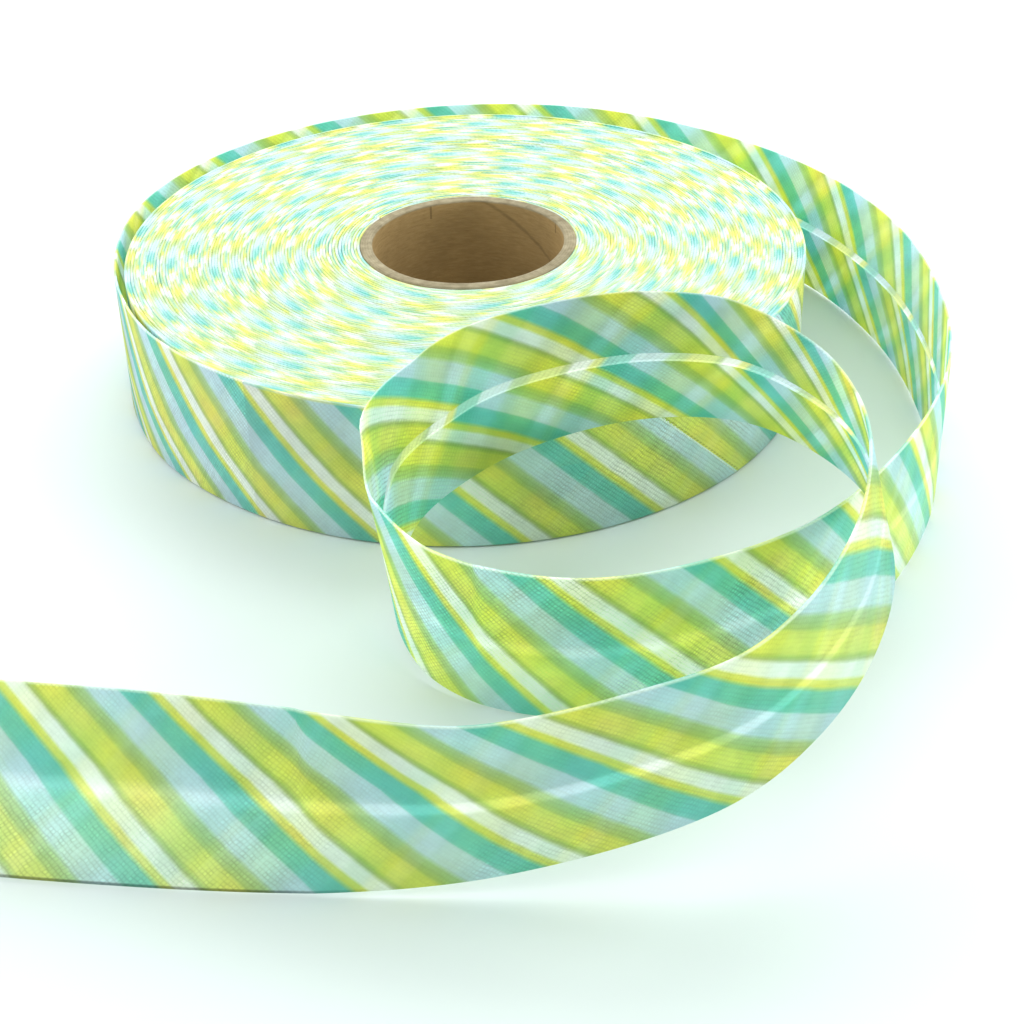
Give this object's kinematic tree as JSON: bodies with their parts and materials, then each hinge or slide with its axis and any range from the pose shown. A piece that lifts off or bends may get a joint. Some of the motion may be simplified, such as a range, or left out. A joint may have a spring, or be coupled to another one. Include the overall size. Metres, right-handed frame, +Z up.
{
  "type": "roll of bias binding",
  "caption": "Roll of striped single-fold bias binding wound flat on a cardboard core, its loose end laid in a loop.",
  "frame": {"origin": "centre of the base of the box round the roll and its loose end, on the surface they lie on", "axes": "+Z up along the roll's core, -Y towards the loop and the loose end's front run, +X to the right as seen from there"},
  "size_m": [0.1936, 0.2436, 0.06],
  "materials": {
    "kraft_board": "matt brown kraft board",
    "striped_cotton": "plain-weave cotton, diagonal stripes in teal, white, yellow green and light blue"
  },
  "bodies": {
    "root": {"core": "kraft_board", "wound_tape": "striped_cotton", "loose_end": "striped_cotton"}
  },
  "joints": []
}
